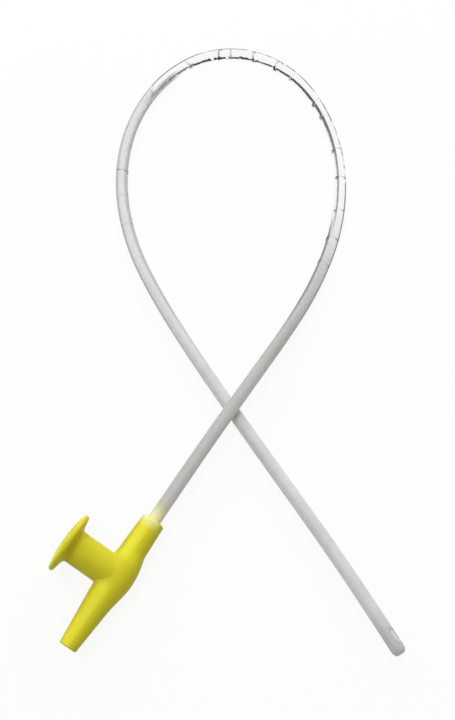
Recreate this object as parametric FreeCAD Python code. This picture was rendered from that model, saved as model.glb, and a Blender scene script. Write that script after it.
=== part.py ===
import FreeCAD, Part
import math
import os

from FreeCAD import Rotation, Vector

# Suction catheter, size 14 French, lying on a flat surface. A soft clear tube is
# bonded into the socket of a one-piece moulded thumb-control connector.
# Units are millimetres and degrees. +Y runs along the connector from its suction
# nozzle to the tube, +Z is up, and the origin is on the surface under the middle
# of the connector's box.

# Catheter tube
tube_diameter = 4.67
tube_wall = 0.70
tip_length = 2.1
tip_round = 1.4
tip_hole_radius = 0.85
eye_length = 4.0
eye_width = 2.0
near_eye_distance = 6.0
near_eye_elevation = 48.0
far_eye_distance = 11.8
far_eye_elevation = 228.0

# Connector body, with its stations measured along the axis from the suction end
connector_length = 48.0
nozzle_mouth_radius = 3.05
nozzle_length = 14.6
nozzle_root_radius = 4.40
nozzle_end_chamfer = 0.35
port_station = 26.6
belly_half_length = 4.6
belly_cover = 0.12
belly_offset = 0.40
belly_ease = 0.30
belly_run_in = 3.4
neck_station = 34.6
neck_radius = 4.65
neck_offset = 0.28
sleeve_length = 10.5
sleeve_root_radius = 4.42
sleeve_end_radius = 4.10
sleeve_end_round = 0.80

# Passages inside the connector
nozzle_bore_radius = 1.95
socket_depth = 10.0
socket_gap = 0.03
socket_lead_in = 0.30

# Thumb port: a hollow stem with a flange, square to the body
stem_radius = 5.56
stem_root_fillet = 0.70
port_bore_radius = 3.50
port_overrun = 1.50
port_mouth_chamfer = 0.40
flange_radius = 10.35
flange_rim_thickness = 1.75
flange_rim_chamfer = 0.50
flange_standoff = 18.72
flange_cone_height = 0.90
flange_flare = 1.20
flange_crown = 1.25

# Height of the tube's axis where it passes over its own far leg
crossing_gap = 0.16

tube_radius = tube_diameter / 2
lumen_radius = tube_radius - tube_wall
socket_radius = tube_radius + socket_gap
belly_radius = stem_radius + belly_cover
crossing_height = 3 * tube_radius + crossing_gap
flange_back = flange_standoff - flange_rim_thickness / 2
flange_front = flange_standoff + flange_rim_thickness / 2


def resting_pose():
    """Tilt and axis height with the belly and the flange's rim both on the surface.

    Returns:
        The stem's angle above the surface in degrees, and the height of the axis.
    """
    reach = flange_back + flange_rim_chamfer + belly_offset
    arm = math.hypot(reach, flange_radius)
    tilt = math.atan2(flange_radius, reach) - math.asin(belly_radius / arm)
    return math.degrees(tilt), belly_radius + belly_offset * math.sin(tilt)


stem_tilt, axis_height = resting_pose()
tilt_sine = math.sin(math.radians(stem_tilt))
tilt_cosine = math.cos(math.radians(stem_tilt))
flange_reach = flange_front * tilt_cosine + (flange_radius - flange_rim_chamfer) * tilt_sine
belly_reach = belly_offset * tilt_cosine + belly_radius
axis_x = (flange_reach - belly_reach) / 2
exit_y = connector_length / 2

# Route of the tube's axis: offsets in x and y from the mouth of the socket, and
# the height above the surface. It leaves level, rises over its far leg, comes
# down and lies in one loose loop that ends in the tip.
FREE_ROUTE = [
    (0.0, 14.0, axis_height),
    (0.4, 38.5, crossing_height),
    (1.0, 64.5, crossing_height),
    (1.0, 87.0, 4.7),
    (-0.5, 108.0, 2.45),
    (-4.6, 129.0, tube_radius),
    (-12.6, 148.5, tube_radius),
    (-24.4, 166.0, tube_radius),
    (-40.8, 180.6, tube_radius),
    (-59.8, 189.6, tube_radius),
    (-80.0, 189.2, tube_radius),
    (-96.0, 178.0, tube_radius),
    (-103.4, 159.6, tube_radius),
    (-103.2, 139.0, tube_radius),
    (-96.6, 118.6, tube_radius),
    (-84.4, 99.8, tube_radius),
    (-67.2, 83.4, tube_radius),
    (-46.0, 70.4, tube_radius),
    (-23.2, 59.0, tube_radius),
    (0.2, 48.3, tube_radius),
    (24.2, 37.7, tube_radius),
    (48.2, 27.3, tube_radius),
    (71.1, 16.7, tube_radius),
    (89.8, 7.4, tube_radius),
]


def route_points():
    """Points of the tube's axis from the shoulder in the socket to the tip."""
    start = Vector(axis_x, exit_y - socket_depth, axis_height)
    return [start] + [Vector(axis_x + x, exit_y + y, z) for x, y, z in FREE_ROUTE]


def rounded_path(points):
    """Straight runs joined by tangent arcs, each arc as large as its runs allow.

    Args:
        points: Corners of the route, with no three in a row in line.

    Returns:
        The wire, its length and the radius of each arc.
    """
    edges = []
    radii = []
    here = points[0]
    for before, corner, after in zip(points, points[1:], points[2:]):
        back = (before - corner).normalize()
        ahead = (after - corner).normalize()
        run = min(before.distanceToPoint(corner), after.distanceToPoint(corner))
        setback = 0.45 * run
        half_turn = (math.pi - back.getAngle(ahead)) / 2
        radius = setback / math.tan(half_turn)
        bisector = (back + ahead).normalize()
        middle = corner + bisector * (radius / math.cos(half_turn) - radius)
        first = corner + back * setback
        last = corner + ahead * setback
        edges.append(Part.LineSegment(here, first).toShape())
        edges.append(Part.Arc(first, middle, last).toShape())
        radii.append(radius)
        here = last
    edges.append(Part.LineSegment(here, points[-1]).toShape())
    return Part.Wire(edges), sum(edge.Length for edge in edges), radii


def revolved(outline, centre, axis, reference):
    """Turn a closed outline in (distance along axis, radius) about an axis.

    Args:
        outline: Points as (along, radius), or a pair of two such points that
            an arc passes through and ends at.
        centre: Point on the axis where along is 0.
        axis: Unit vector of the axis.
        reference: Unit vector square to the axis, in which radius is measured.
    """
    def place(point):
        return centre + axis * point[0] + reference * point[1]

    edges = []
    here = outline[0]
    for step in outline[1:] + [outline[0]]:
        if isinstance(step[0], tuple):
            middle, end = step
            edges.append(Part.Arc(place(here), place(middle), place(end)).toShape())
        else:
            end = step
            edges.append(Part.LineSegment(place(here), place(end)).toShape())
        here = end
    return Part.Face(Part.Wire(edges)).revolve(centre, axis, 360)


def skinned_solid(rings):
    """Smooth solid along +Y, drawn towards a row of control rings.

    The first and last ring are its ends. The skin eases past the others, so it
    has no waves between them.

    Args:
        rings: (station, radius, offset in x) of each control ring.
    """
    corner = math.sqrt(0.5)
    square = [(1, 0), (1, -1), (0, -1), (-1, -1), (-1, 0), (-1, 1), (0, 1), (1, 1), (1, 0)]
    poles = [
        [Vector(offset + a * radius, station, b * radius) for station, radius, offset in rings]
        for a, b in square
    ]
    weights = [[corner if a and b else 1.0] * len(rings) for a, b in square]
    spans = len(rings) - 3
    surface = Part.BSplineSurface()
    surface.buildFromPolesMultsKnots(
        poles, [3, 2, 2, 2, 3], [4] + [1] * (spans - 1) + [4],
        [0, 1, 2, 3, 4], list(range(spans + 1)), False, False, 2, 3, weights
    )
    faces = [surface.toShape()]
    for station, radius, offset in (rings[0], rings[-1]):
        circle = Part.Circle(Vector(offset, station, 0), Vector(0, 1, 0), radius)
        faces.append(Part.Face(Part.Wire(circle.toShape())))
    shell = Part.Shell(faces)
    shell.sewShape()
    return Part.Solid(shell)


def make_body():
    """Pear-shaped body: a coned nozzle, a belly away from the stem, and a sleeve."""
    along = Vector(0, 1, 0)
    sleeve_station = connector_length - sleeve_length
    nozzle_slope = (nozzle_root_radius - nozzle_mouth_radius) / nozzle_length
    sleeve_slope = (sleeve_end_radius - sleeve_root_radius) / sleeve_length
    sleeve_run_in = (sleeve_station - neck_station) / 2
    belly_side = belly_radius - belly_ease
    rings = [
        (nozzle_length, nozzle_root_radius, 0.0),
        (nozzle_length + belly_run_in, nozzle_root_radius + nozzle_slope * belly_run_in, 0.0),
        (port_station - belly_half_length, belly_side, belly_offset),
        (port_station, belly_radius + belly_ease / 2, belly_offset),
        (port_station + belly_half_length, belly_side, belly_offset),
        (neck_station, neck_radius, neck_offset),
        (sleeve_station - sleeve_run_in, sleeve_root_radius - sleeve_slope * sleeve_run_in, 0.0),
        (sleeve_station, sleeve_root_radius, 0.0),
    ]
    nozzle = Part.makeCone(
        nozzle_mouth_radius, nozzle_root_radius, nozzle_length, Vector(0, 0, 0), along
    )
    sleeve = Part.makeCone(
        sleeve_root_radius, sleeve_end_radius, sleeve_length, Vector(0, sleeve_station, 0), along
    )
    body = skinned_solid(rings).multiFuse([nozzle, sleeve])
    mouth = [edge for edge in body.Edges if edge.BoundBox.YMax < 0.01]
    end = [edge for edge in body.Edges if edge.BoundBox.YMin > connector_length - 0.01]
    return body.makeFillet(sleeve_end_round, end).makeChamfer(nozzle_end_chamfer, mouth)


def make_stem():
    """Stem and flange about the port's axis: flared underside, blunt rim and domed face."""
    cone_start = (flange_back - flange_cone_height, stem_radius)
    cone_end = (flange_back, flange_radius - flange_rim_chamfer)
    slant = math.atan2(cone_end[1] - cone_start[1], cone_end[0] - cone_start[0])
    tangent = flange_flare * math.tan(slant / 2)
    flare_start = (cone_start[0] - tangent, stem_radius)
    flare_end = (
        cone_start[0] + tangent * math.cos(slant), cone_start[1] + tangent * math.sin(slant)
    )
    flare_middle = (
        flare_start[0] + flange_flare * math.sin(slant / 2),
        stem_radius + flange_flare * (1 - math.cos(slant / 2)),
    )
    dome_edge = flange_radius - flange_rim_chamfer
    dome_radius = (dome_edge ** 2 + flange_crown ** 2) / (2 * flange_crown)
    dome_top = flange_front + flange_crown
    half_span = math.asin(dome_edge / dome_radius) / 2
    dome_middle = (
        dome_top - dome_radius * (1 - math.cos(half_span)), dome_radius * math.sin(half_span)
    )
    outline = [
        (0.0, 0.0),
        (0.0, stem_radius),
        flare_start,
        (flare_middle, flare_end),
        cone_end,
        (flange_back + flange_rim_chamfer, flange_radius),
        (flange_front - flange_rim_chamfer, flange_radius),
        (flange_front, dome_edge),
        (dome_middle, (dome_top, 0.0)),
    ]
    return revolved(outline, Vector(0, port_station, 0), Vector(-1, 0, 0), Vector(0, 1, 0))


def make_passages():
    """Suction bore, thumb port and tube socket, as one solid to cut away.

    The port runs on a little past the suction bore's axis, so the bore crosses
    its floor as a shallow channel.
    """
    shoulder = connector_length - socket_depth
    along = Vector(0, 1, 0)
    nozzle_bore = Part.makeCylinder(nozzle_bore_radius, port_station, Vector(0, 0, 0), along)
    tube_bore = Part.makeCylinder(
        lumen_radius, shoulder - port_station, Vector(0, port_station, 0), along
    )
    socket = Part.makeCylinder(socket_radius, socket_depth, Vector(0, shoulder, 0), along)
    lead_in = Part.makeCone(
        socket_radius, socket_radius + socket_lead_in, socket_lead_in,
        Vector(0, connector_length - socket_lead_in, 0), along
    )
    floor = Vector(port_overrun, port_station, 0)
    depth = port_overrun + flange_front + 2 * flange_crown
    port = Part.makeCylinder(port_bore_radius, depth, floor, Vector(-1, 0, 0))
    return nozzle_bore.multiFuse([tube_bore, socket, lead_in, port])


def make_connector():
    """Moulded connector in its resting pose."""
    outside = make_body().fuse(make_stem())
    root = [edge for edge in outside.Edges if is_stem_root(edge)]
    outside = outside.makeFillet(stem_root_fillet, root)
    connector = outside.cut(make_passages())
    mouth = [edge for edge in connector.Edges if is_port_mouth(edge)]
    connector = connector.makeChamfer(port_mouth_chamfer, mouth)
    connector.translate(Vector(0, -exit_y, 0))
    connector.rotate(Vector(0, 0, 0), Vector(0, 1, 0), stem_tilt)
    connector.translate(Vector(axis_x, 0, axis_height))
    return connector


def is_stem_root(edge):
    """True for the curve in which the stem meets the body, before it is tilted."""
    if edge.Length < stem_radius or edge.BoundBox.ZLength < stem_radius / 2:
        return False
    spots = edge.discretize(9)
    on_stem = [abs(math.hypot(p.y - port_station, p.z) - stem_radius) < 0.01 for p in spots]
    return all(on_stem) and all(-belly_radius < p.x < 0 for p in spots)


def is_port_mouth(edge):
    """True for the edge of the port's bore on the flange's face, before it is tilted."""
    box = edge.BoundBox
    return box.XMax < -flange_front and abs(box.ZLength - 2 * port_bore_radius) < 0.05


def make_tip(end, along):
    """Formed tip: the wall rolls in to a smaller end hole.

    Args:
        end: Point of the tube's axis at the very end.
        along: Unit vector of the last run.
    """
    side = along.cross(Vector(0, 0, 1)).normalize()
    start = end - along * tip_length
    round_start = tip_length - tip_round
    middle = (
        round_start + tip_round * math.sqrt(0.5),
        tube_radius - tip_round * (1 - math.sqrt(0.5)),
    )
    outline = [
        (0.0, lumen_radius),
        (0.0, tube_radius),
        (round_start, tube_radius),
        (middle, (tip_length, tube_radius - tip_round)),
        (tip_length, tip_hole_radius),
        (round_start, lumen_radius),
    ]
    return revolved(outline, start, along, side)


def make_eye(end, along, distance, elevation):
    """Oblong hole through one wall of the tube, near the tip.

    Args:
        end: Point of the tube's axis at the very end.
        along: Unit vector of the last run.
        distance: From the end to the middle of the eye.
        elevation: Angle of the eye about the tube, from level to the left.
    """
    left = Vector(0, 0, 1).cross(along).normalize()
    out = Rotation(along, -elevation).multVec(left)
    across = along.cross(out)
    centre = end - along * distance
    half = (eye_length - eye_width) / 2
    radius = eye_width / 2

    def place(u, v):
        return centre + along * u + across * v

    edges = [
        Part.LineSegment(place(-half, -radius), place(half, -radius)).toShape(),
        Part.Arc(place(half, -radius), place(half + radius, 0), place(half, radius)).toShape(),
        Part.LineSegment(place(half, radius), place(-half, radius)).toShape(),
        Part.Arc(place(-half, radius), place(-half - radius, 0), place(-half, -radius)).toShape(),
    ]
    return Part.Face(Part.Wire(edges)).extrude(out * tube_diameter)


def make_tube():
    """Hollow tube along its route, with a formed tip and two staggered eyes."""
    points = route_points()
    end = points[-1]
    along = (end - points[-2]).normalize()
    straight_end = end - along * tip_length
    path, length, radii = rounded_path(points[:-1] + [straight_end])
    outside, inside = [
        path.makePipe(Part.Face(Part.Wire(Part.Circle(points[0], Vector(0, 1, 0), radius).toShape())))
        for radius in (tube_radius, lumen_radius)
    ]
    swept = outside.cut(inside)
    section = math.pi * (tube_radius ** 2 - lumen_radius ** 2)
    print("arc radii", ", ".join(f"{radius:.0f}" for radius in radii))
    print(f"tube length {length + tip_length:.1f}")
    print(f"tube volume {swept.Volume:.1f}, section times length {section * length:.1f}")
    tube = swept.fuse(make_tip(end, along)).removeSplitter()
    tube = tube.cut(make_eye(end, along, near_eye_distance, near_eye_elevation))
    return tube.cut(make_eye(end, along, far_eye_distance, far_eye_elevation))


def main():
    """Write one STEP file for each piece."""
    os.makedirs("parts", exist_ok=True)
    pieces = {
        "thumb_control_connector": make_connector(),
        "catheter_tube": make_tube(),
    }
    for name, shape in pieces.items():
        solid = shape.Solids[0]
        box = solid.BoundBox
        print(f"{name}: solids {len(shape.Solids)}, valid {solid.isValid()}, volume {solid.Volume:.1f}")
        print(f"  x {box.XMin:.2f} {box.XMax:.2f}  y {box.YMin:.2f} {box.YMax:.2f}"
              f"  z {box.ZMin:.2f} {box.ZMax:.2f}")
        solid.exportStep(f"parts/{name}.step")
    print(f"stem tilt {stem_tilt:.2f}, axis height {axis_height:.3f}, axis x {axis_x:.3f}")


main()
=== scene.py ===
import logging
import math
from dataclasses import dataclass, field
from enum import Enum

import bmesh
import bpy
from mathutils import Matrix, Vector
from mathutils.kdtree import KDTree


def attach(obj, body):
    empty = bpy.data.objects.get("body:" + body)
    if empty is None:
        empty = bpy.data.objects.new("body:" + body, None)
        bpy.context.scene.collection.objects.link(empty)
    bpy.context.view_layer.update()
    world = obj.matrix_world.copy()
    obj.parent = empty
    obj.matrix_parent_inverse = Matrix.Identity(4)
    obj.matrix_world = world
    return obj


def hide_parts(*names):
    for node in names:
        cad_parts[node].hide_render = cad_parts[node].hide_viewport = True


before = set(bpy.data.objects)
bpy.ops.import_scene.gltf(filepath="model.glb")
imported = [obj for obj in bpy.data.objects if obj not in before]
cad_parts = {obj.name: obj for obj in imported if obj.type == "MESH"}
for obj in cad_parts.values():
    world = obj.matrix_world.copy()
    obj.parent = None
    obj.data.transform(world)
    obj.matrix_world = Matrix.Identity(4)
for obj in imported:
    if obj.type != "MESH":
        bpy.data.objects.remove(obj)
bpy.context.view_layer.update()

MM = 0.001

# Lengths in metres too small to matter, and the decimals to which rings are placed.
TINY = 1e-9
JUST_BEFORE = 1e-6
DECIMALS = 6

# Route of the tube's axis in millimetres, in the part's frame: from the shoulder
# in the connector's socket, over the tube's own far leg and round the loop.
AXIS_X = 7.643
AXIS_HEIGHT = 5.774
MOUTH_Y = 24.0
SOCKET_DEPTH = 10.0
TUBE_RADIUS = 2.335
CROSSING_HEIGHT = 7.165
FREE_ROUTE = [
    (0.0, 14.0, AXIS_HEIGHT),
    (0.4, 38.5, CROSSING_HEIGHT),
    (1.0, 64.5, CROSSING_HEIGHT),
    (1.0, 87.0, 4.7),
    (-0.5, 108.0, 2.45),
    (-4.6, 129.0, TUBE_RADIUS),
    (-12.6, 148.5, TUBE_RADIUS),
    (-24.4, 166.0, TUBE_RADIUS),
    (-40.8, 180.6, TUBE_RADIUS),
    (-59.8, 189.6, TUBE_RADIUS),
    (-80.0, 189.2, TUBE_RADIUS),
    (-96.0, 178.0, TUBE_RADIUS),
    (-103.4, 159.6, TUBE_RADIUS),
    (-103.2, 139.0, TUBE_RADIUS),
    (-96.6, 118.6, TUBE_RADIUS),
    (-84.4, 99.8, TUBE_RADIUS),
    (-67.2, 83.4, TUBE_RADIUS),
    (-46.0, 70.4, TUBE_RADIUS),
    (-23.2, 59.0, TUBE_RADIUS),
    (0.2, 48.3, TUBE_RADIUS),
    (24.2, 37.7, TUBE_RADIUS),
    (48.2, 27.3, TUBE_RADIUS),
    (71.1, 16.7, TUBE_RADIUS),
    (89.8, 7.4, TUBE_RADIUS),
]

log = logging.getLogger("catheter")


# The two values of a number between which a smooth step runs.
Span = tuple[float, float]

NOISE_MIDDLE = 0.5
WHITE = (1, 1, 1, 1)


@dataclass(frozen=True)
class Tint:
    """Colour laid over others, and the most of it that shows."""

    colour: tuple
    share: float = 1.0


@dataclass(frozen=True)
class Facing:
    """The part of a surface that faces one side, with a soft border.

    `side` is a direction in the part's frame. `border` holds the cosines of the angle to it
    at which the part starts and at which it is full.
    """

    side: tuple
    border: Span


@dataclass(frozen=True)
class Speckle:
    """Noise in the part's own space.

    `scale` is the number of cells in a metre, `detail` the number of finer layers, and
    `stretch` the scale along each axis.
    """

    scale: float
    detail: float
    stretch: tuple = (1.0, 1.0, 1.0)
    roughness: float = 0.55


class Value:
    """A number that a shader works out, usable in Python arithmetic."""

    def __init__(self, graph: "Graph", socket: bpy.types.NodeSocket) -> None:
        """Wrap an output socket of a graph."""
        self.graph = graph
        self.socket = socket

    def _with(self, operation: str, *values: "Value | float") -> "Value":
        """A Math node on this value and others."""
        return self.graph.math(operation, self, *values)

    def __add__(self, other: "Value | float") -> "Value":
        """This value plus another."""
        return self._with("ADD", other)

    __radd__ = __add__

    def __mul__(self, other: "Value | float") -> "Value":
        """This value times another."""
        return self._with("MULTIPLY", other)

    __rmul__ = __mul__

    def __sub__(self, other: "Value | float") -> "Value":
        """This value less another."""
        return self._with("SUBTRACT", other)

    def __rsub__(self, other: float) -> "Value":
        """A number less this value."""
        return self.graph.math("SUBTRACT", other, self)

    def size(self) -> "Value":
        """This value without its sign."""
        return self._with("ABSOLUTE")

    def at_most(self, other: "Value | float") -> "Value":
        """The smaller of this value and another."""
        return self._with("MINIMUM", other)

    def at_least(self, other: "Value | float") -> "Value":
        """The larger of this value and another."""
        return self._with("MAXIMUM", other)

    def rise(self, start: float, end: float) -> "Value":
        """A smooth step from 0 to 1 between two values of this one.

        Args:
            start: Value at which the step leaves 0.
            end: Value at which it reaches 1, above or below the start.

        Returns:
            The step.
        """
        low, high, first, last = (start, end, 0.0, 1.0) if start < end else (end, start, 1.0, 0.0)
        node = self.graph.node(
            "ShaderNodeMapRange", {"interpolation_type": "SMOOTHSTEP"},
            {"Value": self, "From Min": low, "From Max": high, "To Min": first, "To Max": last},
        )
        return Value(self.graph, node.outputs["Result"])

    def within(self, rise: Span, fall: Span) -> "Value":
        """1 between two smooth steps of this value, and 0 beyond them."""
        return self.rise(*rise) * self.rise(*fall)


class Graph:
    """Node tree of one finish."""

    def __init__(self, tree: bpy.types.NodeTree) -> None:
        """Empty the node tree of a material or world."""
        self.tree = tree
        tree.nodes.clear()

    def node(
        self, kind: str, settings: dict | None = None, sockets: dict | None = None,
    ) -> bpy.types.Node:
        """Add a node.

        Args:
            kind: The node's type.
            settings: Properties of the node, set first.
            sockets: Value or link of each input, by name or number.

        Returns:
            The new node.
        """
        made = self.tree.nodes.new(kind)
        for name, value in (settings or {}).items():
            setattr(made, name, value)
        for name, value in (sockets or {}).items():
            target = made.inputs[name]
            if isinstance(value, Value):
                value = value.socket
            if isinstance(value, bpy.types.NodeSocket):
                self.tree.links.new(value, target)
            else:
                target.default_value = value
        return made

    def math(self, operation: str, *values: "Value | float") -> Value:
        """A Math node on values and numbers."""
        made = self.node("ShaderNodeMath", {"operation": operation}, dict(enumerate(values)))
        return Value(self, made.outputs[0])

    def value(self, node: bpy.types.Node, output: str | int) -> Value:
        """An output of a node, as a value."""
        return Value(self, node.outputs[output])

    def attribute(self, name: str) -> Value:
        """A number stored at the mesh's points."""
        return self.value(self.node("ShaderNodeAttribute", {"attribute_name": name}), "Fac")

    def place(self, output: str) -> bpy.types.NodeSocket:
        """A socket with the shaded spot's place or direction, in the part's frame."""
        return self.node("ShaderNodeTexCoord").outputs[output]

    def position(self, axis: str) -> Value:
        """Place of the shaded spot along one axis, in metres."""
        spot = self.node("ShaderNodeSeparateXYZ", None, {0: self.place("Object")})
        return self.value(spot, axis)

    def facing(self, part: Facing) -> Value:
        """1 on the part of a surface that faces one side, and 0 beyond its border."""
        made = self.node(
            "ShaderNodeVectorMath", {"operation": "DOT_PRODUCT"},
            {0: self.place("Normal"), 1: part.side},
        )
        return self.value(made, "Value").rise(*part.border)

    def mix(self, share: "Value | float", first: object, second: object) -> bpy.types.NodeSocket:
        """Colour between two colours or sockets, the second at a share of 1."""
        made = self.node("ShaderNodeMix", {"data_type": "RGBA"}, {0: share, 6: first, 7: second})
        return made.outputs[2]

    def tinted(self, colour: object, tints: list[tuple[Value, Tint]]) -> bpy.types.NodeSocket:
        """Colour with tints laid over it, one after another.

        Args:
            colour: Colour or colour socket underneath.
            tints: Mask and tint of each layer, from the lowest up.

        Returns:
            Socket of the finished colour.
        """
        for mask, tint in tints:
            colour = self.mix(mask * tint.share, colour, tint.colour)
        return colour

    def blend(
        self, share: "Value | float", first: bpy.types.Node, second: bpy.types.Node,
    ) -> bpy.types.Node:
        """Mix Shader between two shader nodes, the second at a share of 1."""
        return self.node(
            "ShaderNodeMixShader", None, {0: share, 1: first.outputs[0], 2: second.outputs[0]}
        )

    def noise(self, speckle: Speckle) -> Value:
        """Noise from 0 to 1."""
        spread = self.node(
            "ShaderNodeMapping", None, {"Vector": self.place("Object"), "Scale": speckle.stretch}
        )
        return self.value(self.node("ShaderNodeTexNoise", None, {
            "Vector": spread.outputs[0], "Scale": speckle.scale, "Detail": speckle.detail,
            "Roughness": speckle.roughness,
        }), 0)

    def bump(self, height: Value, strength: float, depth: float) -> bpy.types.NodeSocket:
        """Normal of a surface with a height from 0 to 1 and a depth in metres."""
        made = self.node(
            "ShaderNodeBump", None, {"Strength": strength, "Distance": depth, "Height": height}
        )
        return made.outputs["Normal"]

    def finish(self, shader: bpy.types.Node, kind: str = "ShaderNodeOutputMaterial") -> None:
        """Link a shader to the output."""
        self.node(kind, None, {"Surface": shader.outputs[0]})


def linear(red: int, green: int, blue: int) -> tuple[float, float, float, float]:
    """Scene colour of a screen colour.

    Args:
        red: Red from 0 to 255.
        green: Green from 0 to 255.
        blue: Blue from 0 to 255.

    Returns:
        The same colour as Blender's nodes hold it.
    """
    def channel(level: int) -> float:
        """Scene level of one screen level, by the sRGB curve."""
        share = level / 255
        return share / 12.92 if share <= 0.04045 else ((share + 0.055) / 1.055) ** 2.4

    return (channel(red), channel(green), channel(blue), 1.0)


def new_material(name: str) -> tuple[bpy.types.Material, Graph]:
    """An empty material.

    Args:
        name: Name of the material.

    Returns:
        The material and its graph.
    """
    material = bpy.data.materials.new(name)
    material.use_nodes = True
    return material, Graph(material.node_tree)


def add_object(name: str, data: bpy.types.ID) -> bpy.types.Object:
    """A new object in the scene.

    Args:
        name: Name of the object.
        data: Its mesh, camera or light.

    Returns:
        The object.
    """
    made = bpy.data.objects.new(name, data)
    bpy.context.scene.collection.objects.link(made)
    return made


def aim(thing: bpy.types.Object, place: Vector, target: Vector) -> None:
    """Put a camera or lamp at a place, facing a target."""
    thing.location = place
    thing.rotation_euler = (target - place).to_track_quat("-Z", "Y").to_euler()


def bridge(
    shape: bmesh.types.BMesh, first: list[bmesh.types.BMVert], second: list[bmesh.types.BMVert],
) -> None:
    """Join two closed loops of equally many points with a band of faces.

    Args:
        shape: Mesh that holds the points.
        first: Points of the one loop.
        second: Points of the other.
    """
    for i in range(len(first)):
        j = (i + 1) % len(first)
        shape.faces.new((first[i], first[j], second[j], second[i]))


def finished_mesh(shape: bmesh.types.BMesh, name: str) -> bpy.types.Mesh:
    """Turn a closed shape's faces outwards and keep it as a mesh.

    Args:
        shape: The shape, which is freed.
        name: Name of the mesh.

    Returns:
        The mesh.
    """
    bmesh.ops.recalc_face_normals(shape, faces=shape.faces)
    mesh = bpy.data.meshes.new(name)
    shape.to_mesh(mesh)
    shape.free()
    return mesh


class Trait(Enum):
    """Numbers kept at the tube's mesh points for its finish."""

    ALONG = "along"
    INWARD = "inward"
    LIFT = "lift"
    FOLD = "fold"
    FIRM = "firm"
    SKIN = "skin"


@dataclass(frozen=True)
class Crease:
    """Ring crease across the tube, where its wall has folded a little.

    `at` is in millimetres from the tube's start, `slant` in millimetres, and `turn` is the
    angle in degrees towards which the ring leans.
    """

    at: float
    firmness: float
    slant: float = 0.5
    turn: float = 0.0


CREASES = [
    Crease(126.9, 0.60, 0.7, 20.0),
    Crease(138.3, 0.95, 0.4, 70.0),
    Crease(151.1, 0.80, 0.6, 150.0),
    Crease(166.6, 1.00, 0.3, 80.0),
    Crease(179.8, 0.95, 0.9, 115.0),
    Crease(196.9, 0.75, 1.0, 60.0),
    Crease(205.4, 1.00, 0.9, 140.0),
    Crease(221.7, 0.35, 0.6, 30.0),
    Crease(230.6, 1.00, 0.9, 55.0),
    Crease(242.1, 0.90, 0.8, 120.0),
    Crease(252.2, 0.55, 0.2, 90.0),
    Crease(256.8, 1.00, 0.9, 35.0),
    Crease(271.9, 0.65, 0.9, 145.0),
    Crease(321.3, 0.35, 0.6, 100.0),
    Crease(333.8, 0.90, 0.8, 60.0),
    Crease(346.3, 0.45, 0.9, 165.0),
    Crease(359.3, 0.35, 0.6, 80.0),
]


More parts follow.
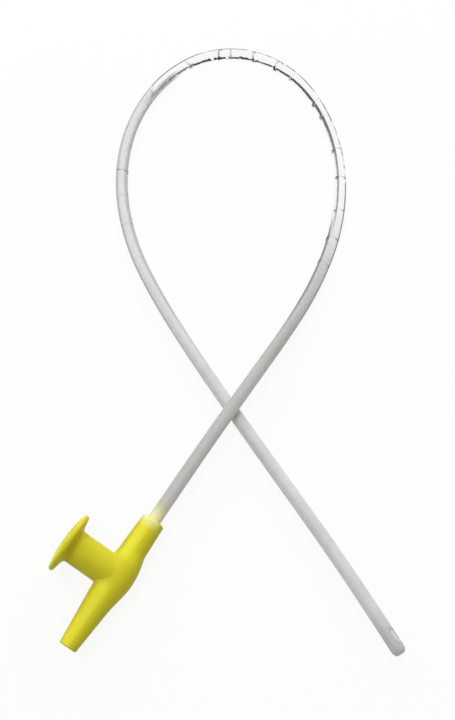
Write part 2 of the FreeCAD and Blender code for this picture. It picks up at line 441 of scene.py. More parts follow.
@dataclass(frozen=True)
class YellowMoulding:
    """Smooth semi-rigid plastic, a little translucent, with painted light and shade on its sides."""

    body: tuple = linear(224, 217, 40)
    deep: tuple = linear(202, 194, 22)
    # Painted shade: olive over the sides turned away from the key lamp.
    painted_shade: Tint = Tint(linear(178, 170, 6), 0.7)
    # Painted reflection: orange on the left-facing sides and on the flange's rim.
    painted_amber_reflection: Tint = Tint(linear(226, 180, 28), 0.5)
    # Painted light: lime on the flange's outer face, as if lit through the rim.
    painted_rim_light: Tint = Tint(linear(222, 226, 24), 0.8)
    # Painted highlight along the body's top ridge.
    painted_highlight: Tint = Tint(linear(243, 236, 58), 0.62)
    # A darker tint over the belly.
    darker_belly: Tint = Tint(linear(188, 178, 16), 0.3)
    # Painted shade on the sleeve's left-facing side.
    painted_sleeve_shade: Tint = Tint(linear(188, 178, 16), 0.6)
    # Painted highlight: cream on the upward side by the socket's mouth.
    painted_cream_highlight: Tint = Tint(linear(244, 240, 176), 0.8)

    # Sides that the painted shade, reflection, light and highlights face.
    painted_shade_side: Facing = Facing((0.93, -0.2, -0.25), (0.05, 0.85))
    painted_shade_under: Facing = Facing((0.538, -0.843, -0.1), (0.15, 0.95))
    amber_reflection_side: Facing = Facing((-0.843, -0.538, -0.1), (0.25, 0.9))
    amber_reflection_rim: Facing = Facing((0.6, 0.75, 0.2), (0.35, 0.9))
    rim_light_side: Facing = Facing((-0.95, 0.0, 0.3), (0.3, 0.8))
    ridge: Facing = Facing((-0.2, -0.13, 0.971), (0.80, 0.99))
    top: Facing = Facing((0.0, 0.0, 1.0), (0.55, 0.9))
    sleeve_side: Facing = Facing((-0.843, -0.538, -0.1), (0.3, 0.62))
    mouth_side: Facing = Facing((-0.2, -0.13, 0.971), (0.2, 0.9))

    # Where the painted light and shade lie: x runs across the connector and y along it.
    flange_x: Span = (-6.5 * MM, -8.5 * MM)
    ridge_x: Span = (0.5 * MM, 4.0 * MM)
    top_x: float = 6.8 * MM
    top_reach: Span = (2.6 * MM, 0.8 * MM)
    top_share: float = 0.9
    belly_y: tuple[Span, Span] = ((-3.5 * MM, 0.5 * MM), (11.0 * MM, 5.0 * MM))
    sleeve_y: Span = (3.0 * MM, 9.0 * MM)
    mouth_y: Span = (19.5 * MM, 24.0 * MM)

    clouds: Speckle = Speckle(90.0, 3.0)
    cloud_step: Span = (0.3, 0.7)
    cloud_share: float = 0.3
    flow: Speckle = Speckle(420.0, 3.0, (1.0, 0.18, 1.0))
    flow_step: Span = (0.4, 0.75)
    flow_share: float = 0.15
    grain: Speckle = Speckle(2600.0, 2.0)
    roughness: float = 0.5
    grain_roughness: float = 0.14
    flow_roughness: float = 0.1
    gloss: float = 0.2
    glow: float = 0.25
    glow_reach: tuple = (1.0, 0.85, 0.15)
    glow_depth: float = 1.2 * MM
    grain_height: float = 0.6
    flow_height: float = 0.4
    bump_strength: float = 0.2
    bump_depth: float = 0.03 * MM

    def colour(self, graph: Graph, flow: Value) -> bpy.types.NodeSocket:
        """The body's colour with painted light and shade, and a darker belly, laid over it.

        Args:
            graph: Graph of the finish.
            flow: Noise drawn out along the moulding.

        Returns:
            Socket of the colour.
        """
        across, along = graph.position("X"), graph.position("Y")
        flange = across.rise(*self.flange_x)
        cloudy = graph.noise(self.clouds).rise(*self.cloud_step) * self.cloud_share
        cloudy = cloudy + flow.rise(*self.flow_step) * self.flow_share
        # Painted shade on the sides turned away from the key lamp.
        painted_shade = graph.facing(self.painted_shade_side).at_least(graph.facing(self.painted_shade_under))
        # Painted reflection on the left-facing sides and the flange's rim.
        painted_amber_reflection = graph.facing(self.amber_reflection_side) * (1.0 - flange)
        painted_amber_reflection = painted_amber_reflection.at_least(graph.facing(self.amber_reflection_rim) * flange)
        # Painted highlight along the top ridge, and on a straight band along the body's top.
        ridge = graph.facing(self.ridge) * across.rise(*self.ridge_x)
        top = (across - self.top_x).size().rise(*self.top_reach)
        ridge = ridge.at_least(top * graph.facing(self.top) * self.top_share)
        belly = along.within(*self.belly_y)
        # Painted shade, reflection, light and highlights laid over the colour and its random tone.
        return graph.tinted(graph.mix(cloudy, self.body, self.deep), [
            (painted_shade, self.painted_shade),
            (painted_amber_reflection, self.painted_amber_reflection),
            (graph.facing(self.rim_light_side) * flange, self.painted_rim_light),
            (ridge * (1.0 - belly), self.painted_highlight),
            (belly, self.darker_belly),
            (graph.facing(self.sleeve_side) * along.rise(*self.sleeve_y), self.painted_sleeve_shade),
            (along.rise(*self.mouth_y) * graph.facing(self.mouth_side), self.painted_cream_highlight),
        ])

    def material(self) -> bpy.types.Material:
        """The finish as a material.

        Returns:
            The material.
        """
        material, graph = new_material("yellow_moulding")
        flow, grain = graph.noise(self.flow), graph.noise(self.grain)
        rough = self.roughness + (grain - NOISE_MIDDLE) * self.grain_roughness
        height = grain * self.grain_height + flow * self.flow_height
        shader = graph.node("ShaderNodeBsdfPrincipled", None, {
            "Base Color": self.colour(graph, flow),
            "Roughness": rough + (flow - NOISE_MIDDLE) * self.flow_roughness,
            "Specular IOR Level": self.gloss,
            "Subsurface Weight": self.glow,
            "Subsurface Radius": self.glow_reach,
            "Subsurface Scale": self.glow_depth,
            "Normal": graph.bump(height, self.bump_strength, self.bump_depth),
        })
        graph.finish(shader)
        return material


@dataclass(frozen=True)
class Spot:
    """The tube at the shaded spot.

    The first six are its stored numbers. `edge` is the slant of the view, 0 where the
    surface faces the eye and 1 at the tube's outline. The rest are masks of its stretches:
    `lined` shows lines, `beaded` breaks them into beads, `pale` lies beyond the slanting
    step, and one band near that step holds painted shade on the inside of the bend.
    `past_step` is the distance beyond that step in millimetres.
    """

    along: Value
    inward: Value
    lift: Value
    fold: Value
    firm: Value
    skin: Value
    edge: Value
    clear: Value
    lined: Value
    beaded: Value
    pale: Value
    inner_shade: Value
    past_step: Value


@dataclass(frozen=True)
class Stretches:
    """Where the tube's looks change, in millimetres along it from its start.

    A span runs from where its mask is 0 to where it is 1, and a pair of spans holds a
    mask's rise and its fall.
    """

    socket: Span = (21.0, 9.0)
    mouth: Span = (16.0, 11.0)
    darker_patch: tuple[Span, Span] = ((72.0, 84.0), (108.0, 94.0))
    clear: Span = (80.0, 165.0)
    lined: Span = (90.0, 112.0)
    near: Span = (150.0, 110.0)
    inset: Span = (136.0, 152.0)
    solid_rim: Span = (158.0, 148.0)
    dark: Span = (158.0, 222.0)
    thin: Span = (225.0, 165.0)
    turned: Span = (185.0, 236.0)
    bold_creases: Span = (222.0, 232.0)
    beaded: Span = (236.0, 250.0)
    fading: Span = (266.0, 275.0)
    firm_rim: tuple[Span, Span] = ((260.0, 268.0), (294.0, 284.0))
    inner_shade: tuple[Span, Span] = ((274.0, 284.0), (303.0, 293.0))
    milk: Span = (366.0, 436.0)
    tip: Span = (525.0, 543.0)

    # The slanting step, which comes later on the inside of the bend, and painted shade before it.
    step: float = 291.0
    step_slant: float = 6.0
    step_side: Span = (-0.3, 0.95)
    step_edge: Span = (-0.7, 0.7)
    inner_shade_side: Span = (0.2, 0.65)

    def spot(self, graph: Graph) -> Spot:
        """The shaded spot, as a graph reads it.

        Args:
            graph: Graph of the finish.

        Returns:
            The spot.
        """
        stored = {trait.value: graph.attribute(trait.value) for trait in Trait}
        along, inward = stored[Trait.ALONG.value], stored[Trait.INWARD.value]
        layer = graph.node("ShaderNodeLayerWeight", None, {"Blend": 0.5})
        past_step = along - inward.rise(*self.step_side) * self.step_slant - self.step
        after_step = past_step.rise(*self.step_edge)
        clear = along.rise(*self.clear) * (1.0 - after_step)
        return Spot(
            **stored,
            edge=graph.value(layer, "Facing"),
            clear=clear,
            lined=along.rise(*self.lined) * (1.0 - after_step),
            beaded=along.rise(*self.beaded) * clear,
            pale=after_step * (1.0 - along.rise(*self.milk)),
            # Painted shade in a band on the inside of the bend.
            inner_shade=along.within(*self.inner_shade) * inward.rise(*self.inner_shade_side),
            past_step=past_step,
        )


@dataclass(frozen=True)
class Refraction:
    """Painted dark refraction lines along the clear stretch, and painted shade ticks at its creases.

    The inside line is the strongest. It lies a little inside the edge round the loop. Names
    in `edge` are spans of the view's slant, those in `side` of the side of the bend, 1 inside
    and -1 outside, those in `lift` of the height on the tube, 1 on top, and those in `fold`
    of the distance to a crease in millimetres.
    """

    at: Stretches = Stretches()
    blobs: Speckle = Speckle(520.0, 1.0)
    breaks: Speckle = Speckle(170.0, 2.0)

    # The inside line while it follows the edge.
    ripple: float = 0.14
    bead_ripple: float = 0.85
    bead_shift: float = 0.05
    thinning: float = 0.08
    inner_edge: Span = (0.20, 0.36)
    inner_side: Span = (0.25, 0.6)
    inner_gaps: Span = (0.42, 0.34)
    clean_edge: Span = (0.10, 0.22)

    # The inside line where it lies inside the edge, and the painted shade blots at creases.
    inset_ripple: float = 0.10
    inset_bead_ripple: float = 0.2
    inset_bead_shift: float = 0.02
    inset_narrowing: float = 0.10
    inset_start_edge: Span = (0.09, 0.14)
    inset_end_edge: Span = (0.36, 0.22)
    inset_turn: float = 0.5
    inset_side: Span = (0.2, 0.38)
    inset_lift: Span = (-0.25, -0.05)
    inset_gaps: Span = (0.37, 0.31)
    inset_share: float = 0.95
    blot_fold: Span = (0.8, 0.4)
    blot_side: Span = (0.85, 0.65)

    # The outside line, broken but for two stretches.
    outer_edge: Span = (0.40, 0.62)
    outer_side: Span = (-0.1, -0.5)
    outer_breaks: Span = (0.44, 0.56)
    outer_least: float = 0.08
    outer_more: float = 0.85
    outer_solid: float = 0.75
    outer_firm: float = 0.95

    # Painted crease shade, weaker in the tube's middle.
    crease_fold: Span = (0.62, 0.18)
    crease_gaps: Span = (0.34, 0.5)
    crease_middle: float = 0.2
    crease_bolder: float = 0.35
    crease_side: Span = (0.3, 0.85)
    crease_lift: Span = (-0.35, 0.25)
    crease_cut_side: Span = (0.6, 0.8)

    # The pale stretch, with its painted crease shade and edge lines, and the step before it.
    pale_crease: float = 1.8
    pale_line: float = 0.9
    pale_inner_edge: Span = (0.12, 0.42)
    pale_inner_side: Span = (0.15, 0.6)
    pale_outer_edge: Span = (0.26, 0.55)
    pale_outer_side: Span = (-0.1, -0.6)
    step_width: Span = (0.55, 0.15)
    step_share: float = 0.55

    # How dark the lines are.
    knot_fold: Span = (1.3, 0.4)
    knot_depth: float = 0.5
    crease_depth: float = 0.8
    fading_depth: float = 0.6
    firm_rim_depth: float = 0.45
    clear_crease_depth: float = 0.55
    pale_crease_depth: float = 0.5

    def turned(self, spot: Spot) -> Value:
        """Side of the bend as the camera sees it, which turns towards the loop's top."""
        return spot.inward - spot.along.rise(*self.at.turned) * self.inset_turn

    def inside_line(self, spot: Spot, blobs: Value) -> Value:
        """Painted refraction line on the inside of the bend, with painted crease shade blots.

        Args:
            spot: The shaded spot.
            blobs: Noise that makes the line uneven.

        Returns:
            Mask of the line.
        """
        beaded, blob = spot.beaded, blobs - NOISE_MIDDLE
        uneven = blob * (self.ripple + beaded * self.bead_ripple) + beaded * self.bead_shift
        thinned = spot.edge + uneven - spot.along.rise(*self.at.thin) * self.thinning
        line = thinned.rise(*self.inner_edge) * spot.inward.rise(*self.inner_side)
        line = line * (1.0 - beaded * blobs.rise(*self.inner_gaps)) * spot.edge.rise(*self.clean_edge)
        wavy = spot.edge + blob * (self.inset_ripple + beaded * self.inset_bead_ripple)
        wavy = wavy + beaded * self.inset_bead_shift
        narrowing = beaded * (1.0 - spot.along.rise(*self.at.fading)) * self.inset_narrowing
        turned = self.turned(spot)
        near_side = turned.rise(*self.inset_side) * spot.lift.rise(*self.inset_lift)
        band = wavy.rise(*self.inset_start_edge)
        band = band * (wavy - narrowing).rise(*self.inset_end_edge) * near_side
        band = band * (1.0 - beaded * blobs.rise(*self.inset_gaps))
        blot = spot.fold.rise(*self.blot_fold) * spot.firm * near_side * turned.rise(*self.blot_side)
        inset = spot.along.rise(*self.at.inset)
        return line * (1.0 - inset) + band.at_least(blot) * inset * self.inset_share

    def outside_line(self, spot: Spot, breaks: Value) -> Value:
        """The painted refraction line on the outside of the bend.

        Args:
            spot: The shaded spot.
            breaks: Noise that breaks the line.

        Returns:
            Mask of the line.
        """
        solid = spot.along.rise(*self.at.solid_rim) * self.outer_solid
        firm = spot.along.within(*self.at.firm_rim) * self.outer_firm
        broken = self.outer_least + breaks.rise(*self.outer_breaks) * self.outer_more
        line = spot.edge.rise(*self.outer_edge) * spot.inward.rise(*self.outer_side)
        return line * broken.at_least(solid).at_least(firm)

    def creases(self, spot: Spot, blobs: Value) -> Value:
        """Painted shade: dark ticks across the tube at its creases.

        Args:
            spot: The shaded spot.
            blobs: Noise that leaves gaps in the ticks.

        Returns:
            Mask of the ticks.
        """
        tick = spot.fold.rise(*self.crease_fold) * spot.firm * blobs.rise(*self.crease_gaps)
        middle = self.crease_middle + spot.along.rise(*self.at.bold_creases) * self.crease_bolder
        sides = spot.inward.size().rise(*self.crease_side)
        tick = tick * (middle + sides * (1.0 - middle)) * spot.lift.rise(*self.crease_lift)
        inset = spot.along.rise(*self.at.inset)
        cut = inset * spot.clear * self.turned(spot).rise(*self.crease_cut_side)
        return tick * (1.0 - cut)

    def marks(self, graph: Graph, spot: Spot) -> tuple[Value, Value]:
        """All painted refraction lines and painted crease shade.

        Args:
            graph: Graph of the finish.
            spot: The shaded spot.

        Returns:
            Share of the marks in the surface, and how dark they are.
        """
        blobs, breaks = graph.noise(self.blobs), graph.noise(self.breaks)
        clear, pale = spot.clear, spot.pale
        inner = self.inside_line(spot, blobs)
        outer = self.outside_line(spot, breaks)
        crease = self.creases(spot, blobs)
        share = inner.at_least(outer).at_least(crease) * spot.lined
        share = share.at_least((crease * self.pale_crease).at_most(1.0) * pale)
        for edge, side in (
            (self.pale_inner_edge, self.pale_inner_side),
            (self.pale_outer_edge, self.pale_outer_side),
        ):
            line = spot.edge.rise(*edge) * spot.inward.rise(*side) * pale
            share = share.at_least(line * self.pale_line)
        step = spot.past_step.size().rise(*self.step_width)
        share = share.at_least(step * self.step_share)
        knot = spot.fold.rise(*self.knot_fold) * spot.firm * self.knot_depth
        depth = inner.at_least(crease * self.crease_depth)
        depth = depth * (spot.along.rise(*self.at.dark) + knot).at_most(1.0)
        depth = depth * (1.0 - spot.along.rise(*self.at.fading) * self.fading_depth)
        rim = outer * spot.along.within(*self.at.firm_rim) * self.firm_rim_depth
        depth = depth.at_least(rim) * clear
        ticks = clear * self.clear_crease_depth + pale * self.pale_crease_depth
        return share * spot.skin, depth.at_least(crease * ticks)


@dataclass(frozen=True)
class FrostedVinyl:
    """Soft vinyl: milky in the straight legs, glass-clear round the loop."""

    at: Stretches = Stretches()
    refraction: Refraction = Refraction()

    milk: tuple = linear(214, 213, 212)
    milk_shade: tuple = linear(197, 195, 195)
    near_milk: tuple = linear(193, 192, 188)
    # Painted shade on the side towards the loop's inside, near the connector.
    near_painted_shade: tuple = linear(174, 173, 170)
    near_side: Span = (-0.5, 0.8)
    near_share: float = 0.85
    # A darker patch on the leg near the connector.
    darker_patch: Tint = Tint(linear(162, 159, 151), 0.3)
    pale: Tint = Tint(linear(226, 226, 227))
    # Painted shade in a band on the inside of the bend, before the step.
    painted_inner_shade: Tint = Tint(linear(162, 159, 151))
    tip_shade: Tint = Tint(linear(184, 181, 182), 0.8)
    socket_tint: Tint = Tint(linear(204, 206, 136), 0.9)
    # Painted highlight on top of the tube by the socket's mouth.
    painted_mouth_highlight: Tint = Tint(linear(244, 238, 186), 0.8)
    mouth_lift: Span = (0.3, 0.9)
    # Colours of the painted refraction lines and painted crease shade.
    line_dark: tuple = linear(38, 35, 38)
    line_soft: tuple = linear(150, 146, 148)
    line_pale: tuple = linear(194, 193, 194)

    clear_alpha: float = 0.05
    pale_alpha: float = 0.42
    inner_shade_alpha: float = 0.75
    # Painted glow on the lumen's wall, standing for light let through the wall.
    painted_lumen_glow: tuple = linear(150, 150, 150)
    unlit: tuple = (0.0, 0.0, 0.0, 1.0)

    clouds: Speckle = Speckle(60.0, 3.0)
    cloud_step: Span = (0.35, 0.7)
    cloud_share: float = 0.5
    streaks: Speckle = Speckle(240.0, 3.0, (1.0, 0.3, 1.0))
    streak_step: Span = (0.45, 0.75)
    streak_share: float = 0.25
    frost: Speckle = Speckle(3200.0, 2.0)
    roughness: float = 0.42
    frost_roughness: float = 0.2
    clear_polish: float = 0.3
    refractive_index: float = 1.5
    gloss: float = 0.35
    glow: float = 0.2
    glow_depth: float = 0.8 * MM
    bump_share: float = 0.5
    bump_strength: float = 0.15
    bump_depth: float = 0.02 * MM
    line_roughness: float = 0.6

    def colour(self, graph: Graph, spot: Spot, streak: Value) -> bpy.types.NodeSocket:
        """The milk's colour with the stretches' tints laid over it, painted light and shade among
        them.

        Args:
            graph: Graph of the finish.
            spot: The shaded spot.
            streak: Noise drawn out in streaks.

        Returns:
            Socket of the colour.
        """
        cloudy = graph.noise(self.clouds).rise(*self.cloud_step) * self.cloud_share
        cloudy = cloudy + streak.rise(*self.streak_step) * self.streak_share
        milk = graph.mix(cloudy, self.milk, self.milk_shade)
        # Painted shade on the side towards the loop's inside, over the near stretch.
        near = graph.mix(spot.inward.rise(*self.near_side), self.near_milk, self.near_painted_shade)
        milk = graph.mix(spot.along.rise(*self.at.near) * self.near_share, milk, near)
        # Painted highlight on top of the tube by the mouth.
        mouth = spot.along.rise(*self.at.mouth) * spot.lift.rise(*self.mouth_lift)
        return graph.tinted(milk, [
            (spot.along.within(*self.at.darker_patch), self.darker_patch),
            (spot.pale, self.pale),
            (spot.inner_shade, self.painted_inner_shade),
            (spot.along.rise(*self.at.tip), self.tip_shade),
            (spot.along.rise(*self.at.socket), self.socket_tint),
            (mouth, self.painted_mouth_highlight),
        ])

    def cover(self, spot: Spot) -> Value:
        """How much the vinyl hides what is behind it.

        Args:
            spot: The shaded spot.

        Returns:
            The alpha, which is 0 on the lumen's wall of the clear and pale stretches.
        """
        clear, pale, skin = spot.clear, spot.pale, spot.skin
        cover = 1.0 - clear * (1.0 - self.clear_alpha) - pale * (1.0 - self.pale_alpha)
        # The band of painted shade is also less see-through.
        cover = cover.at_least(spot.inner_shade * self.inner_shade_alpha)
        return cover * (skin + (1.0 - skin) * (1.0 - clear - pale).at_least(0.0))

    def material(self) -> bpy.types.Material:
        """The finish as a material.

        Returns:
            The material.
        """
        material, graph = new_material("frosted_vinyl")
        spot = self.at.spot(graph)
        share, depth = self.refraction.marks(graph, spot)
        streak, frost = graph.noise(self.streaks), graph.noise(self.frost)
        rough = self.roughness + (frost - NOISE_MIDDLE) * self.frost_roughness
        height = frost * self.bump_share + streak * self.bump_share
        vinyl = graph.node("ShaderNodeBsdfPrincipled", None, {
            "Base Color": self.colour(graph, spot, streak),
            "Roughness": rough - spot.clear * self.clear_polish,
            "IOR": self.refractive_index,
            "Specular IOR Level": self.gloss,
            "Subsurface Weight": self.glow,
            "Subsurface Radius": (1.0, 1.0, 1.0),
            "Subsurface Scale": self.glow_depth,
            "Alpha": self.cover(spot),
            # Painted glow on the lumen's wall.
            "Emission Color": graph.mix(spot.skin, self.painted_lumen_glow, self.unlit),
            "Emission Strength": 1.0,
            "Normal": graph.bump(height, self.bump_strength, self.bump_depth),
        })
        # A dark matte shader mixed in for the painted refraction lines and crease shade.
        soft = graph.mix(spot.pale, self.line_soft, self.line_pale)
        line = graph.node("ShaderNodeBsdfPrincipled", None, {
            "Base Color": graph.mix(depth, soft, self.line_dark),
            "Roughness": self.line_roughness,
            "Specular IOR Level": 0.0,
        })
        graph.finish(graph.blend(share, vinyl, line))
        return material


@dataclass
class CatheterTube:
    """The extruded tube with its formed tip and two side eyes, lying in its loop."""

    radius: float = TUBE_RADIUS * MM
    wall: float = 0.70 * MM
    length: float = 535.0 * MM
    tip_round: float = 1.4 * MM
    tip_length: float = 2.1 * MM
    tip_hole_radius: float = 0.85 * MM
    eye_length: float = 4.0 * MM
    eye_width: float = 2.0 * MM
    near_eye: float = 6.0 * MM
    far_eye: float = 11.8 * MM
    eye_elevation: float = 48.0
    eye_sides: int = 32
    sides: int = 48
    tip_rings: int = 10
    tip_edge: float = 0.12 * MM
    ring_step: float = 1.1 * MM
    crease_step: float = 0.2 * MM
    crease_rings: int = 7
    crease_width: float = 0.30 * MM
    crease_depth: float = 0.12 * MM
    lip_offset: float = 0.42 * MM
    lip_width: float = 0.26 * MM
    lip_height: float = 0.30 * MM
    lip_power: int = 3
    fold_limit: float = 4.0
    path_detail: int = 80
    path: list[Vector] = field(default_factory=list)
    reach: list[float] = field(default_factory=list)

    def route(self) -> list[Vector]:
        """Points of the route.

        Returns:
            The points in metres.
        """
        start = Vector((AXIS_X, MOUTH_Y - SOCKET_DEPTH, AXIS_HEIGHT))
        free = [Vector((AXIS_X + x, MOUTH_Y + y, z)) for x, y, z in FREE_ROUTE]
        return [point * MM for point in [start] + free]

    def read_spline(self) -> None:
        """Read the tube's centre line from the smooth spline of its route."""
        curve = bpy.data.curves.new("route", "CURVE")
        curve.dimensions = "3D"
        curve.resolution_u = self.path_detail
        spline = curve.splines.new("NURBS")
        points = self.route()
        spline.points.add(len(points) - 1)
        for target, point in zip(spline.points, points):
            target.co = (*point, 1.0)
        spline.order_u = 3
        spline.use_endpoint_u = True
        holder = bpy.data.objects.new("route", curve)
        mesh = bpy.data.meshes.new_from_object(holder)
        self.path = [vertex.co.copy() for vertex in mesh.vertices]
        self.reach = [0.0]
        for before, here in zip(self.path, self.path[1:]):
            self.reach.append(self.reach[-1] + (here - before).length)
        bpy.data.objects.remove(holder)
        bpy.data.curves.remove(curve)
        bpy.data.meshes.remove(mesh)

    def place(self, distance: float) -> tuple[Vector, Vector, Vector, Vector]:
        """Where the centre line is at a distance from its start.

        Args:
            distance: Distance along the centre line in metres.

        Returns:
            The point, the direction ahead, the side to the right and the side up.
        """
        low, high = 0, len(self.reach) - 1
        while high - low > 1:
            middle = (low + high) // 2
            if self.reach[middle] <= distance:
                low = middle
            else:
                high = middle
        share = (distance - self.reach[low]) / (self.reach[high] - self.reach[low])
        point = self.path[low].lerp(self.path[high], share)
        before = self.path[max(low - 1, 0)]
        after = self.path[min(high + 1, len(self.path) - 1)]
        ahead = (after - before).normalized()
        right = ahead.cross(Vector((0, 0, 1))).normalized()
        return point, ahead, right, right.cross(ahead)

    def fold(self, distance: float, inward: float, lift: float) -> tuple[float, float]:
        """How far a spot of the skin is from the nearest crease.

        Args:
            distance: Distance along the centre line in metres.
            inward: 1 on the inside of the bend and -1 on the outside.
            lift: 1 on top of the tube and -1 underneath.

        Returns:
            The distance to the crease's slanting line in metres, and the crease's firmness.
        """
        crease = min(CREASES, key=lambda one: abs(one.at * MM - distance))
        turn = math.radians(crease.turn)
        slant = crease.slant * MM * (math.cos(turn) * inward + math.sin(turn) * lift)
        return distance - crease.at * MM - slant, crease.firmness

    def stations(self) -> list[float]:
        """Distances of the mesh rings, close together at each crease.

        Returns:
            The distances in metres, in rising order.
        """
        end = self.reach[-1] - self.tip_length
        count = round(end / self.ring_step)
        found = {round(end * i / count, DECIMALS) for i in range(count + 1)}
        near = (self.crease_rings + 1) * self.crease_step
        steps = range(-self.crease_rings, self.crease_rings + 1)
        for crease in CREASES:
            found = {place for place in found if abs(place - crease.at * MM) > near}
        for crease in CREASES:
            found |= {round(crease.at * MM + self.crease_step * i, DECIMALS) for i in steps}
        return sorted(found)

    def skin_radius(self, distance: float, angle: float) -> float:
        """Outside radius: a groove at each crease, with two lips on the inside of the bend.

        Args:
            distance: Distance along the centre line in metres.
            angle: Angle about the tube, 0 to the right of the way ahead.

        Returns:
            The radius in metres.
        """
        inward, lift = -math.cos(angle), math.sin(angle)
        fold, firmness = self.fold(distance, inward, lift)
        groove = math.exp(-((fold / self.crease_width) ** 2))
        lip = math.exp(-(((abs(fold) - self.lip_offset) / self.lip_width) ** 2))
        raised = self.lip_height * lip * max(inward, 0.0) ** self.lip_power
        return self.radius + firmness * (raised - self.crease_depth * groove)

    def mesh(self) -> bpy.types.Mesh:
        """Closed wall of the tube: outside, formed tip, lumen and socket end.

        Returns:
            The mesh.
        """
        shape = bmesh.new()
        loops = []
        angles = [2 * math.pi * i / self.sides for i in range(self.sides)]

        def ring(distance: float, radii: list[float]) -> list[bmesh.types.BMVert]:
            """Points round the centre line at a distance, one for each radius."""
            point, _, right, up = self.place(distance)
            return [
                shape.verts.new(point + (right * math.cos(angle) + up * math.sin(angle)) * radius)
                for angle, radius in zip(angles, radii)
            ]

        stations = self.stations()
        for distance in stations:
            loops.append(ring(distance, [self.skin_radius(distance, angle) for angle in angles]))
        end = self.reach[-1]
        for step in range(1, self.tip_rings + 1):
            angle = math.pi / 2 * step / self.tip_rings
            distance = end - self.tip_length * (1 - math.sin(angle))
            radius = self.tip_hole_radius
            radius += (self.radius - radius) * math.cos(angle)
            loops.append(ring(distance, [radius] * self.sides))
        lumen = [self.radius - self.wall] * self.sides
        loops.append(ring(end - self.tip_edge, [self.tip_hole_radius] * self.sides))
        for distance in [end - self.tip_round] + stations[::-1]:
            loops.append(ring(distance, lumen))
        for first, second in zip(loops, loops[1:] + loops[:1]):
            bridge(shape, first, second)
        return finished_mesh(shape, "catheter_tube_soft")

    def eye_cutter(self, distance: float, elevation: float) -> bpy.types.Object:
        """Oblong punch that opens a side eye.

        Args:
            distance: From the very end to the middle of the eye.
            elevation: Angle of the eye about the tube, from level to the left.

        Returns:
            The punch's object.
        """
        point, ahead, right, up = self.place(self.reach[-1] - distance)
        angle = math.radians(elevation)
        out = -right * math.cos(angle) + up * math.sin(angle)
        across = ahead.cross(out)
        shape = bmesh.new()
        half = (self.eye_length - self.eye_width) / 2
        outline = []
        for step in range(self.eye_sides):
            turn = 2 * math.pi * (step + 0.5) / self.eye_sides
            shift = half if math.cos(turn) > 0 else -half
            forward = shift + self.eye_width / 2 * math.cos(turn)
            sideways = self.eye_width / 2 * math.sin(turn)
            outline.append(point + ahead * forward + across * sideways)
        inner = [shape.verts.new(spot) for spot in outline]
        outer = [shape.verts.new(spot + out * 2 * self.radius) for spot in outline]
        shape.faces.new(inner)
        shape.faces.new(outer)
        bridge(shape, inner, outer)
        return add_object("eye_punch", finished_mesh(shape, "eye_punch"))

    def open_eyes(self, tube: bpy.types.Object) -> None:
        """Cut the two side eyes through the wall.

        Args:
            tube: The tube's object.
        """
        punches = [
            self.eye_cutter(self.near_eye, self.eye_elevation),
            self.eye_cutter(self.far_eye, self.eye_elevation + 180.0),
        ]
        for punch in punches:
            cut = tube.modifiers.new("eye", "BOOLEAN")
            cut.operation = "DIFFERENCE"
            cut.solver = "EXACT"
            cut.object = punch
        depsgraph = bpy.context.evaluated_depsgraph_get()
        made = bpy.data.meshes.new_from_object(tube.evaluated_get(depsgraph))
        tube.modifiers.clear()
        tube.data = made
        for punch in punches:
            bpy.data.objects.remove(punch)

    def store_traits(self, mesh: bpy.types.Mesh) -> None:
        """Keep at each point the numbers that the finish needs.

        Args:
            mesh: Mesh of the tube.
        """
        tree = KDTree(len(self.path))
        for i, point in enumerate(self.path):
            tree.insert(point, i)
        tree.balance()
        kept: dict[Trait, list[float]] = {trait: [] for trait in Trait}
        wall_middle = self.radius - self.wall / 2
        for vertex in mesh.vertices:
            _, i, _ = tree.find(vertex.co)
            point, ahead, right, up = self.place(min(self.reach[i], self.reach[-1] - JUST_BEFORE))
            offset = vertex.co - point
            distance = self.reach[i] + offset.dot(ahead)
            across = offset - ahead * offset.dot(ahead)
            width = max(across.length, TINY)
            inward, lift = -across.dot(right) / width, across.dot(up) / width
            fold, firmness = self.fold(distance, inward, lift)
            at_tip = distance > self.reach[-1] - self.tip_length
            numbers = {
                Trait.ALONG: distance / MM,
                Trait.INWARD: inward,
                Trait.LIFT: lift,
                Trait.FOLD: min(abs(fold) / MM, self.fold_limit),
                Trait.FIRM: firmness,
                Trait.SKIN: 1.0 if width > wall_middle or at_tip else 0.0,
            }
            for trait, number in numbers.items():
                kept[trait].append(number)
        for trait, numbers in kept.items():
            mesh.attributes.new(trait.value, "FLOAT", "POINT").data.foreach_set("value", numbers)

    def build(self, finish: bpy.types.Material) -> bpy.types.Object:
        """Args:
            finish: Material of the tube.

        Returns:
            The tube's object.
        """
        self.read_spline()
        tube = add_object("catheter_tube_soft", self.mesh())
        self.open_eyes(tube)
        self.store_traits(tube.data)
        tube.data.materials.clear()
        tube.data.materials.append(finish)
        tube.data.shade_smooth()
        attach(tube, "root")
        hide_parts("catheter_tube")
        length = self.reach[-1] / MM
        log.info("tube: %d faces, centre line %.1f mm", len(tube.data.polygons), length)
        return tube


@dataclass
class ThumbConnector:
    """The moulded connector, as the frame holds it."""

    node: str = "thumb_control_connector"

    def build(self, finish: bpy.types.Material) -> bpy.types.Object:
        """Dress the connector.

        Args:
            finish: Material of the moulding.

        Returns:
            The connector's object.
        """
        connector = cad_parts[self.node]
        connector.data.materials.clear()
        connector.data.materials.append(finish)
        log.info("connector: %d faces", len(connector.data.polygons))
        return connector


@dataclass(frozen=True)
class Lamp:
    """Soft lamp that faces the loop's middle.

    `far` is its distance beyond that middle, away from the camera, `right` the distance to
    the camera's right, `height` its height above the floor, `width` its side along the
    picture, `depth` the other side, and `power` its power in watts.
    """

    name: str
    far: float
    right: float
    height: float
    width: float
    depth: float
    power: float


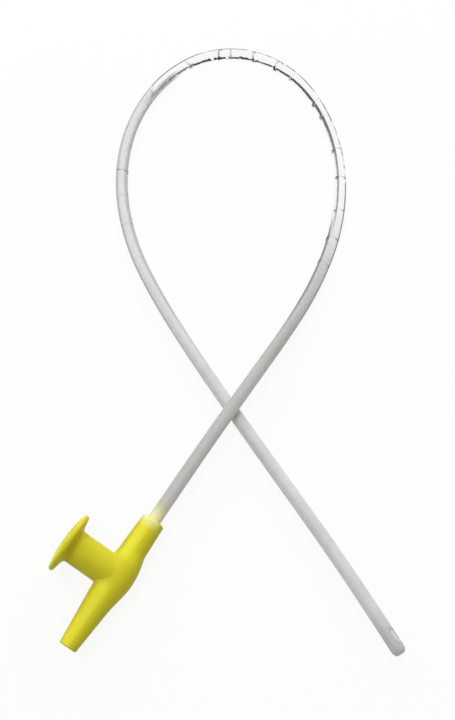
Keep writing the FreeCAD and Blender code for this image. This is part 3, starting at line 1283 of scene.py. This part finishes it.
@dataclass
class Studio:
    """Camera, pale floor and soft lights."""

    camera_place: tuple = (69.505 * MM, -27.2 * MM, 308.8 * MM)
    camera_target: tuple = (-4.595 * MM, 88.7 * MM, 0.0)
    view_height: float = 42.46
    sensor: float = 36.0
    near_limit: float = 0.01
    far_limit: float = 20.0
    floor_size: float = 8.0
    floor_colour: tuple = (0.88, 0.88, 0.88, 1.0)
    floor_whiteness: float = 0.9
    sky_light: float = 0.47
    far_side: tuple = (-0.538, 0.843, 0.0)
    right_side: tuple = (0.843, 0.538, 0.0)
    lamps: tuple[Lamp, ...] = (
        Lamp("key", far=0.8, right=0.05, height=0.42, width=1.5, depth=0.4, power=6.6),
        Lamp("overhead", far=0.05, right=-0.25, height=0.9, width=0.3, depth=0.3, power=2.3),
    )

    def camera(self) -> None:
        """Set the camera at the photograph's viewing angle."""
        data = bpy.data.cameras.new("camera")
        data.sensor_width = self.sensor
        data.sensor_fit = "AUTO"
        data.lens = self.sensor / 2 / math.tan(math.radians(self.view_height) / 2)
        data.clip_start = self.near_limit
        data.clip_end = self.far_limit
        camera = add_object("camera", data)
        aim(camera, Vector(self.camera_place), Vector(self.camera_target))
        bpy.context.scene.camera = camera

    def seen(self, graph: Graph) -> Value:
        """Mask of the rays by which something is seen.

        Args:
            graph: Graph of the floor or the surroundings.

        Returns:
            1 for what the camera, a reflection or a clear surface shows.
        """
        rays = graph.node("ShaderNodeLightPath")
        sight = graph.value(rays, "Is Camera Ray")
        sight = sight.at_least(graph.value(rays, "Is Glossy Ray"))
        return sight.at_least(graph.value(rays, "Is Transmission Ray"))

    def floor(self) -> None:
        """Pale floor that keeps a faint shadow."""
        material, graph = new_material("pale_floor")
        matte = graph.node("ShaderNodeBsdfDiffuse", None, {"Color": self.floor_colour})
        white = graph.node("ShaderNodeEmission", None, {"Color": WHITE, "Strength": 1.0})
        graph.finish(graph.blend(self.seen(graph) * self.floor_whiteness, matte, white))
        half = self.floor_size / 2
        mesh = bpy.data.meshes.new("floor")
        corners = [(-half, -half, 0), (half, -half, 0), (half, half, 0), (-half, half, 0)]
        mesh.from_pydata(corners, [], [(0, 1, 2, 3)])
        mesh.materials.append(material)
        floor = add_object("floor", mesh)

    def world(self) -> None:
        """Soft white surroundings: white to the eye, gentler as a light."""
        world = bpy.data.worlds.new("surroundings")
        world.use_nodes = True
        graph = Graph(world.node_tree)
        light = graph.node("ShaderNodeBackground", None, {"Color": WHITE, "Strength": self.sky_light})
        white = graph.node("ShaderNodeBackground", None, {"Color": WHITE, "Strength": 1.0})
        graph.finish(graph.blend(self.seen(graph), light, white), "ShaderNodeOutputWorld")
        bpy.context.scene.world = world

    def light(self, lamp: Lamp) -> None:
        """Put up a lamp.

        Args:
            lamp: Its place, size and power.
        """
        data = bpy.data.lights.new(lamp.name, "AREA")
        data.shape = "RECTANGLE"
        data.size = lamp.width
        data.size_y = lamp.depth
        data.energy = lamp.power
        centre = Vector(self.camera_target)
        offset = Vector(self.far_side) * lamp.far + Vector(self.right_side) * lamp.right
        aim(add_object(lamp.name, data), centre + offset + Vector((0, 0, lamp.height)), centre)

    def build(self) -> None:
        """Make the whole studio."""
        self.floor()
        self.world()
        for lamp in self.lamps:
            self.light(lamp)
        bpy.context.scene.view_settings.view_transform = "Standard"
        log.info("studio: floor, surroundings and lamps")


def main() -> None:
    """Build the studio and dress the catheter."""
    logging.basicConfig(level=logging.INFO, format="%(name)s: %(message)s")
    studio = Studio()
    studio.camera()
    CatheterTube().build(FrostedVinyl().material())
    ThumbConnector().build(YellowMoulding().material())
    studio.build()


if __name__ == "__main__":
    main()
